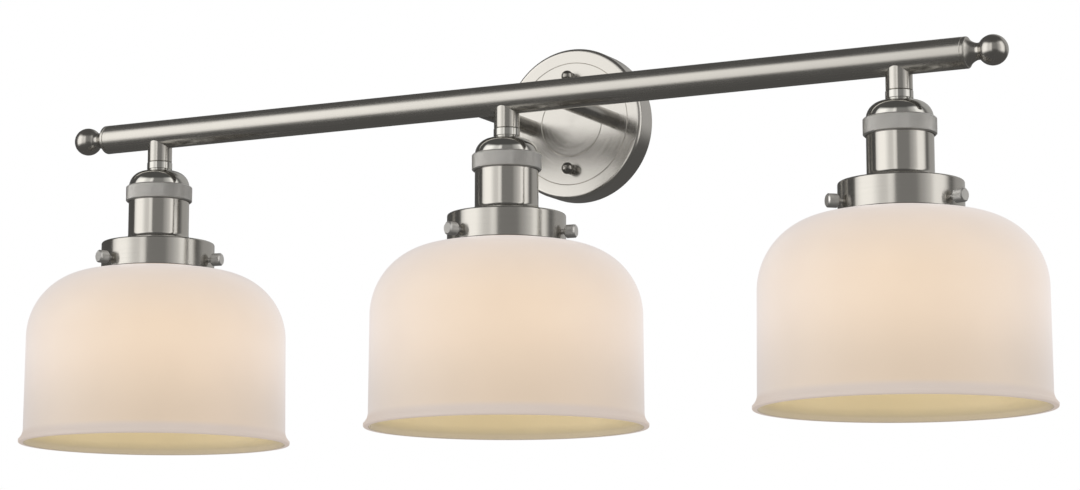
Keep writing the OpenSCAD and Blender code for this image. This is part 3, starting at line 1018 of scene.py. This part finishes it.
@dataclass
class Socket:
    """Stem, domed cap, knurled ring and shell, with the porcelain inside."""

    stem_radius: float = 9.2
    stem_bottom: float = -21.7
    stem_chamfer: float = 0.45
    bore: float = 4.9
    collar_radius: float = 9.5
    collar_bottom: float = -27.4
    collar_seat: float = 0.05
    dome_middle: tuple[float, float] = (10.9, -40.9)
    dome_round: float = 12.0
    dome_wall: float = 1.2
    dome_bottom: float = -44.4
    ring_radius: float = 24.9
    ring_height: float = 0.2
    ring_top: float = -40.5
    ring_bottom: float = -52.4
    ring_diamonds: tuple[int, int] = (140, 10)
    ring_edge: float = 0.7
    ring_fit: float = 0.3
    shell_radius: float = 22.9
    shell_wall: float = 1.0
    shell_edge: float = 0.3
    shell_top: float = -44.6
    shell_bottom: float = -78.0
    foot_radius: float = 25.4
    foot_top: float = -81.5
    foot_bottom: float = -84.4
    foot_edge: float = 0.4
    foot_floor: float = 1.2
    skirt_radius: float = 20.0
    skirt_bottom: float = -93.5
    thread_pitch: float = 2.0
    thread_depth: float = 0.45
    thread_turns: int = 4

    def build_stem(self) -> Piece:
        """Turns the stem and copes its top to the bar."""
        foot = (self.bore, self.stem_bottom)
        stem = turn("stem", [foot, (self.stem_radius - self.stem_chamfer, self.stem_bottom),
                             (self.stem_radius, self.stem_bottom + self.stem_chamfer), (self.stem_radius, 0),
                             (self.bore, 0), foot], 96)
        cope(stem, 0)
        smooth(stem, 30)
        return stem

    def build_cap(self) -> Piece:
        """Turns the polished collar and dome as one thin shell."""
        inner = self.dome_round - self.dome_wall
        skirt = self.dome_middle[0] + self.dome_round
        collar, top, low, foot = self.collar_radius, self.stem_bottom, self.collar_bottom, self.dome_middle[0]
        seat = (self.bore, top - self.collar_seat)
        outline = [seat, (collar - 0.7, seat[1]), (collar, top - 0.5), (collar, low + 0.4), (collar - 0.6, low),
                   (collar - 0.5, low - 0.6), (foot - 0.8, low - 0.95), (foot + 0.1, low - 1.5)]
        outline += arc(self.dome_middle, self.dome_round, 78, 0, 22) + [(skirt, self.dome_bottom)]
        outline += [(skirt - self.dome_wall, self.dome_bottom)] + arc(self.dome_middle, inner, 0, 90, 14)
        outline += [(self.bore, self.dome_middle[1] + inner), seat]
        cap = turn("socket_cap", outline, 128)
        smooth(cap, 40)
        return cap

    def build_ring(self) -> Piece:
        """Makes the ring with its diamond knurl."""
        ring = knurled_sleeve("knurled_ring", self.ring_radius, self.ring_bottom, self.ring_top, *self.ring_diamonds,
                              self.ring_height, self.ring_edge, self.shell_radius + self.ring_fit)
        smooth(ring, 24)
        return ring

    def build_shell(self) -> Piece:
        """Turns the shell with its coved foot and threaded skirt."""
        inside, skirt, pitch = self.shell_radius - self.shell_wall, self.skirt_radius, self.thread_pitch
        floor = self.foot_bottom + self.foot_floor
        ridges = []
        for index in range(self.thread_turns):
            top = self.foot_bottom - self.foot_floor - index * pitch
            ridges += [(skirt, top), (skirt - self.thread_depth, top - pitch / 2)]
        out, drop = self.foot_radius - self.shell_radius, self.shell_bottom - self.foot_top
        cove = (out * out + drop * drop) / (2 * out)
        outline = [(inside, self.shell_top), (self.shell_radius - self.shell_edge, self.shell_top),
                   (self.shell_radius, self.shell_top - self.shell_edge)]
        outline += arc((self.shell_radius + cove, self.shell_bottom), cove, 180,
                       180 + math.degrees(math.asin(drop / cove)), 12)
        outline += [(self.foot_radius, self.foot_bottom + self.foot_edge),
                    (self.foot_radius - self.foot_edge, self.foot_bottom), (skirt, self.foot_bottom)]
        outline += ridges + [(skirt, self.skirt_bottom), (skirt - self.shell_wall, self.skirt_bottom),
                             (skirt - self.shell_wall, floor), (inside, floor), (inside, self.shell_top)]
        shell = turn("socket_shell", outline, 128)
        smooth(shell, 30)
        return shell

    def build(self) -> None:
        """Makes one socket and copies it to the three lamps."""
        satin, polished, knurl = SATIN_ROUND.material(), POLISHED.material(), LIT_KNURL.material()
        made = {"stem": (self.build_stem(), satin), "socket_cap": (self.build_cap(), polished),
                "knurled_ring": (self.build_ring(), knurl),
                "socket_shell": (self.build_shell(), SATIN_SHELL.material())}
        for node, (piece, finish) in made.items():
            dress(piece, finish)
            hang_on_lamps(piece, node, "turned")
        porcelain, brass = PORCELAIN.material(), BRASS.material()
        dress_nodes((f"{side}_porcelain" for side in SIDES), porcelain)
        dress_nodes([f"{side}_screw_shell" for side in SIDES] + ["center_contacts", "terminal_screws"], brass)
        dress_nodes(("nipples",), ZINC.material())


def lamp_place(side: str) -> Vector:
    """The top of a lamp's axis, on the bar's axis."""
    return Vector((middle(f"{side}_stem").x, BAR_AXIS.y, 0))


def hang_on_lamps(piece: Piece, node: str, ending: str) -> None:
    """Copies a piece to the three lamps and removes the first one.

    Args:
        piece: the piece, upright at the origin.
        node: the CAD node's name after the lamp's side.
        ending: last word of the copies' names.
    """
    for side in SIDES:
        stand_for(copy_of(piece, f"{side}_{node}_{ending}", at(lamp_place(side))), f"{side}_{node}")
    bpy.data.objects.remove(piece)


@dataclass
class ShadeHolder:
    """The cup that grips the glass, with three knurled thumbscrews."""

    radius: float = 42.7
    top: float = -84.4
    bottom: float = -105.3
    wall: float = 1.2
    shoulder: float = 1.5
    edge: float = 0.3
    hole: float = 20.2
    screw_height: float = -99.0
    screw_hole: float = 2.0
    shank_radius: float = 1.95
    tip: float = 38.5
    head_start: float = 45.4
    head_end: float = 53.4
    head_radius: float = 4.7
    head_bevel: float = 0.8
    head_diamonds: tuple[int, int] = (26, 6)
    knurl_height: float = 0.2
    end_inset: float = 1.6
    tip_chamfer: float = 0.5
    thread_pitch: float = 0.8
    thread_depth: float = 0.3
    lead_in: float = 0.4

    def build_cup(self, side: str) -> Piece:
        """Turns the cup and drills it where this lamp's screws are."""
        corner = (self.radius - self.shoulder, self.top - self.shoulder)
        outline = [(self.hole, self.top)] + arc(corner, self.shoulder, 90, 0, 12)
        outline += [(self.radius, self.bottom + self.edge), (self.radius - self.edge, self.bottom),
                    (self.radius - self.wall, self.bottom)]
        outline += arc(corner, self.shoulder - self.wall, 0, 90, 8)
        outline += [(self.hole, self.top - self.wall), (self.hole, self.top)]
        cup = turn(f"{side}_shade_holder_cup", outline, 160)
        for direction in screw_directions(side).values():
            drill(cup, self.screw_hole, self.radius - OVERSHOOT, self.radius + OVERSHOOT, self.along(direction))
        smooth(cup, 30)
        return cup

    def along(self, direction: Vector) -> Matrix:
        """Lays an upright piece along a screw's direction, at the screws' height."""
        turned = direction.to_track_quat("Z", "Y").to_matrix().to_4x4()
        return Matrix.Translation((0, 0, self.screw_height * MM)) @ turned

    def build_screw(self) -> Piece:
        """Makes a thumbscrew: a threaded shank in a head with a diamond knurl and a bevelled end."""
        pitch, end = self.thread_pitch, self.head_start + self.lead_in
        ridges = []
        for index in range(int((self.head_start - self.tip - self.lead_in) / pitch)):
            foot = self.tip + self.lead_in + index * pitch
            ridges += [(self.shank_radius, foot + pitch / 2), (self.shank_radius - self.thread_depth, foot + pitch)]
        shank = turn("shank", [(0, self.tip), (self.shank_radius - self.tip_chamfer, self.tip)] + ridges
                     + [(self.shank_radius, end), (0, end)], 32)
        inner = self.head_radius - self.end_inset
        head = knurled_sleeve("thumbscrew", self.head_radius, self.head_start, self.head_end, *self.head_diamonds,
                              self.knurl_height, self.head_bevel, inner)
        edit(head)
        select_points(head, lambda place: math.hypot(place.x, place.y) < inner * MM + 10 * SAME_LEVEL)
        bpy.ops.mesh.select_mode(type="FACE")
        bpy.ops.mesh.delete(type="FACE")
        bpy.ops.mesh.select_mode(type="EDGE")
        bpy.ops.mesh.select_all(action="DESELECT")
        bpy.ops.mesh.select_non_manifold(extend=False)
        bpy.ops.mesh.edge_face_add()
        tidy_surface(head)
        screw = join([head, shank])
        smooth(screw, 24)
        return screw

    def build(self) -> None:
        """Makes the three cups and their nine screws."""
        satin, knurl = SATIN_ROUND.material(), LIT_KNURL.material()
        screw = self.build_screw()
        dress(screw, knurl)
        for side in SIDES:
            cup = self.build_cup(side)
            dress(cup, satin)
            cup.data.transform(at(lamp_place(side)))
            stand_for(cup, f"{side}_shade_holder")
            for node, direction in screw_directions(side).items():
                stand_for(copy_of(screw, node + "_turned", at(lamp_place(side)) @ self.along(direction)), node)
        bpy.data.objects.remove(screw)
        dress_nodes(("holder_rings",), satin)


def screw_directions(side: str) -> dict[str, Vector]:
    """Each thumbscrew of a lamp, by its CAD node, with the way that it backs out."""
    return {joint["child"]: Vector(joint["axis"]) for joint in frame["joints"]
            if joint["child"].startswith(f"{side}_thumbscrew")}


@dataclass
class Shade:
    """The opal glass bell."""

    top: float = -87.3
    rim_radius: float = 39.9
    rim_height: float = 5.0
    rim_slope: float = 1.7
    rim_round: float = 0.8
    neck_radius: float = 38.2
    neck_depth: float = 15.0
    wall: float = 3.2
    fillet: float = 4.7
    shoulder: float = 50.7
    body_radius: float = 98.2
    draft: float = 0.6
    lip_radius: float = 101.6
    lip_height: float = 10.2
    lip_edge: float = 2.4
    lip_round: float = 1.0
    lip_inset: float = 3.4
    bottom: float = -237.4

    def outside(self) -> Outline:
        """Draws the outer surface.

        Returns:
            Its section, from the rim of the neck down to the lip.
        """
        fillet_middle, shoulder_middle, flare_middle, flare_radius, flare_turn = self.middles()
        edge = self.rim_round
        rim_bottom = self.top - self.rim_height
        points = arc((self.rim_radius - edge, self.top - edge), edge, 90, 0, 4)
        points += [(self.rim_radius, rim_bottom), (self.neck_radius, rim_bottom - self.rim_slope)]
        points += arc(fillet_middle, self.fillet, 180, 270, 8)
        points += arc(shoulder_middle, self.shoulder, 90, 0, 40)
        body_top = shoulder_middle[1]
        for index in range(1, 8):
            share = index / 8
            height = body_top + (flare_middle[1] - body_top) * share
            points.append((self.body_radius - self.draft * (1 - share), height))
        points += arc(flare_middle, flare_radius, 180, 180 + flare_turn, 10)
        return points + arc((self.lip_radius - self.lip_round, self.bottom + self.lip_round), self.lip_round, 0, -90, 5)

    def inside(self) -> Outline:
        """Draws the inner surface.

        Returns:
            Its section, from the lip up to the neck.
        """
        fillet_middle, shoulder_middle, flare_middle, flare_radius, flare_turn = self.middles()
        edge = self.rim_round
        points = arc((self.lip_radius - self.lip_inset, self.bottom + edge), edge, -90, -160, 4)
        points += arc(flare_middle, flare_radius + self.wall, 180 + flare_turn * 0.66, 180, 7)
        points += arc(shoulder_middle, self.shoulder - self.wall, 0, 90, 30)
        points += arc(fillet_middle, self.fillet + self.wall, 270, 180, 8)
        return points + arc((self.neck_radius - self.wall + edge, self.top - edge), edge, 180, 90, 4)

    def middles(self) -> tuple[tuple[float, float], tuple[float, float], tuple[float, float], float, float]:
        """Works out the arcs that the bell's section is made of.

        Returns:
            Centres of the fillet, shoulder and flare, and the flare's radius and turn in degrees.
        """
        fillet = (self.neck_radius + self.fillet, self.top - self.neck_depth)
        body_top = self.body_radius - self.draft
        shoulder = (body_top - self.shoulder, fillet[1] - self.fillet - self.shoulder)
        out, drop = self.lip_radius - self.body_radius, self.lip_height - self.lip_edge
        radius = (drop * drop + out * out) / (2 * out)
        flare = (self.body_radius + radius, self.bottom + self.lip_height)
        return fillet, shoulder, flare, radius, math.degrees(math.asin(drop / radius))

    def build(self) -> None:
        """Turns one bell, gives its inner faces their own material with a warmer painted glow, and copies it."""
        outside, inside = self.outside(), self.inside()
        bell = turn("shade", outside + inside + outside[:1], 160)
        pick_up(bell)
        bpy.ops.object.shade_smooth()
        dress(bell, OPAL_OUTSIDE.material(), OPAL_INSIDE.material())
        for face in bell.data.polygons:
            outward = Vector((face.center.x, face.center.y, 0)).normalized()
            looks_in = face.normal.dot(outward) < -0.2 or (face.normal.z < -0.5 and face.center.z > -0.2)
            face.material_index = 1 if looks_in else 0
        bell.visible_glossy = False
        hang_on_lamps(bell, "shade", "bell")


@dataclass
class Bulb:
    """A frosted globe on a screw base."""

    globe_radius: float = 30.0
    globe_height: float = -148.0
    neck_radius: float = 12.0
    neck_top: float = -95.0
    wall: float = 0.8
    tangent: float = 38.0
    base_radius: float = 12.4
    base_top: float = -69.5
    thread_height: float = 0.55
    pitch: float = 3.6

    def build_globe(self) -> Piece:
        """Turns the glass, with a soft bend from globe to neck."""
        center = (0.0, self.globe_height)
        outer = [(self.neck_radius, self.neck_top), (self.neck_radius + 0.6, self.neck_top - 4)]
        outer += arc(center, self.globe_radius, self.tangent, -90, 30)
        inner = arc(center, self.globe_radius - self.wall, -90, self.tangent, 20)
        inner += [(self.neck_radius - self.wall, self.neck_top)]
        globe = turn("bulb_globe", outer + inner + outer[:1], 72)
        pick_up(globe)
        bpy.ops.object.shade_smooth()
        globe.visible_glossy = False
        return globe

    def build_base(self) -> Piece:
        """Turns the base with its rolled thread, insulator and tip, all as one piece."""
        outline = [(0, self.base_top + 3), (3.4, self.base_top + 3), (4, self.base_top + 2.4), (4.4, self.base_top + 2),
                   (9.6, self.base_top + 0.6), (11, self.base_top)]
        low = self.neck_top
        turns = int((self.base_top - low) / self.pitch) - 1
        for index in range(turns):
            top = self.base_top - 1.2 - index * self.pitch
            for step in range(8):
                wave = math.cos(math.tau * step / 8)
                outline.append((self.base_radius - 0.1 - self.thread_height * wave * 0.5, top - self.pitch * step / 8))
        outline += [(self.base_radius - 0.2, low), (0, low)]
        base = turn("bulb_base", outline, 64)
        smooth(base, 40)
        return base

    def build(self) -> None:
        """Makes one bulb and copies it to the three lamps."""
        for piece, finish, node in ((self.build_globe(), BULB_GLOW, "bulb_glass"),
                                    (self.build_base(), ALUMINIUM, "bulb_base")):
            dress(piece, finish.material())
            hang_on_lamps(piece, node, "turned")


@dataclass
class Wiring:
    """The leads inside the stems, bar and arms."""

    def build(self) -> None:
        """Dresses both groups of leads."""
        dress_nodes(("wires_black",), BLACK_SLEEVE.material())
        dress_nodes(("wires_white",), WHITE_SLEEVE.material())


# ---- studio


@dataclass(frozen=True)
class Softbox:
    """A patch of light in the surroundings, by direction in degrees.

    The azimuth is 0 straight in front of the fixture and grows to its right, seen from the front.
    """

    azimuth: float
    half_width: float
    low: float
    high: float
    strength: float
    blur: float = 6.0
    blur_upright: float = 8.0


@dataclass
class Studio:
    """Camera, surroundings and floor."""

    camera_place: tuple[float, float, float] = (1011.95, -2038.7, -435.05)
    camera_turn: float = 27.223
    camera_lift: float = 8.635
    lens: float = 101.96
    clip_end: float = 50.0
    dark: float = 0.1
    light_color: Color = (1.0, 0.985, 0.955)
    backdrop_color: Color = (1.0, 1.0, 1.0)
    floor_height: float = -2600.0
    floor_size: float = 40000.0
    floor_glow: float = 0.75
    softboxes: tuple[Softbox, ...] = field(default_factory=lambda: (
        Softbox(-30.5, 40, -16, 41, 0.76, 2),
        Softbox(-45, 20, -16, 41, 0.55, 12),
        Softbox(1, 4, -5, 45, 0.25, 3),
        Softbox(34, 26, -5, 45, 0.17, 6),
        Softbox(86, 26, -14, 47, 0.6, 14),
        Softbox(96, 17, -14, 47, 0.5, 7),
        Softbox(165, 35, 0, 50, 0.35, 12),
    ))

    def build_camera(self) -> None:
        """Puts the camera at the viewing angle."""
        data = bpy.data.cameras.new("camera")
        data.lens = self.lens
        data.sensor_width = 36
        data.clip_end = self.clip_end
        camera = bpy.data.objects.new("camera", data)
        camera.location = Vector(self.camera_place) * MM
        camera.rotation_euler = (math.radians(90 + self.camera_lift), 0, math.radians(self.camera_turn))
        bpy.context.scene.collection.objects.link(camera)
        bpy.context.scene.camera = camera

    def light_patch(self, bench: NodeBench, azimuth: Output, elevation: Output,
                    box: Softbox) -> Output:
        """Paints one soft light box.

        Args:
            bench: the world's nodes.
            azimuth: the looked-at direction's azimuth in degrees.
            elevation: its elevation in degrees.
            box: the light box.

        Returns:
            The box's brightness in that direction.
        """
        level = box.strength
        for angle, center, half, blur in (
                (azimuth, box.azimuth, box.half_width, box.blur),
                (elevation, (box.low + box.high) / 2, (box.high - box.low) / 2, box.blur_upright)):
            away = bench.math("ABSOLUTE", bench.math("WRAP", bench.math("SUBTRACT", angle, center), 180.0, -180.0))
            level = bench.math("MULTIPLY", bench.spread(away, half - blur, half + blur, 1.0, 0.0, "SMOOTHSTEP"), level)
        return level

    def build_world(self) -> None:
        """Paints soft light boxes round the fixture, with plain white behind it."""
        world = bpy.context.scene.world = bpy.data.worlds.new("studio")
        bench = NodeBench(world)
        bench.nodes.clear()
        ray = bench.add("ShaderNodeSeparateXYZ")
        bench.feed(ray, 0, bench.add("ShaderNodeTexCoord").outputs["Generated"])
        x, y, z = ray.outputs
        azimuth = bench.math("DEGREES", bench.math("ARCTAN2", x, bench.math("MULTIPLY", y, -1.0)))
        elevation = bench.math("DEGREES", bench.math("ARCSINE", z))
        total: float | Output = self.dark
        for box in self.softboxes:
            total = bench.math("ADD", total, self.light_patch(bench, azimuth, elevation, box))
        surroundings = bench.wire(bench.add("ShaderNodeBackground"), 0, opaque(self.light_color), total)
        backdrop = bench.wire(bench.add("ShaderNodeBackground"), 0, opaque(self.backdrop_color))
        seen = bench.add("ShaderNodeLightPath").outputs["Is Camera Ray"]
        choice = bench.wire(bench.add("ShaderNodeMixShader"), 0, seen, surroundings, backdrop)
        bench.feed(bench.add("ShaderNodeOutputWorld"), 0, choice)

    def build_floor(self) -> None:
        """Lays a plain pale floor far below the fixture, which only the camera sees."""
        put_down()
        bpy.ops.mesh.primitive_grid_add(x_subdivisions=8, y_subdivisions=8, size=self.floor_size * MM,
                                        location=(0, 0, self.floor_height * MM))
        floor = bpy.context.object
        floor.name = "floor"
        dress(floor, PlainCoat("pale_floor", (0.85, 0.85, 0.84), 0.8, glow=self.floor_glow).material())
        floor.visible_glossy = floor.visible_diffuse = floor.visible_shadow = False

    def build(self) -> None:
        """Sets the whole studio up."""
        self.build_camera()
        self.build_world()
        self.build_floor()
        bpy.context.scene.view_settings.view_transform = "Standard"


def main() -> None:
    """Builds every sub-assembly in order."""
    logging.basicConfig(level=logging.INFO, format="%(name)s: %(message)s")
    for assembly in (Studio(), WallPlate(), Arms(), Bar(), Socket(), ShadeHolder(), Shade(), Bulb(), Wiring()):
        assembly.build()
        log.info("%s is done", type(assembly).__name__)


if __name__ == "__main__":
    main()
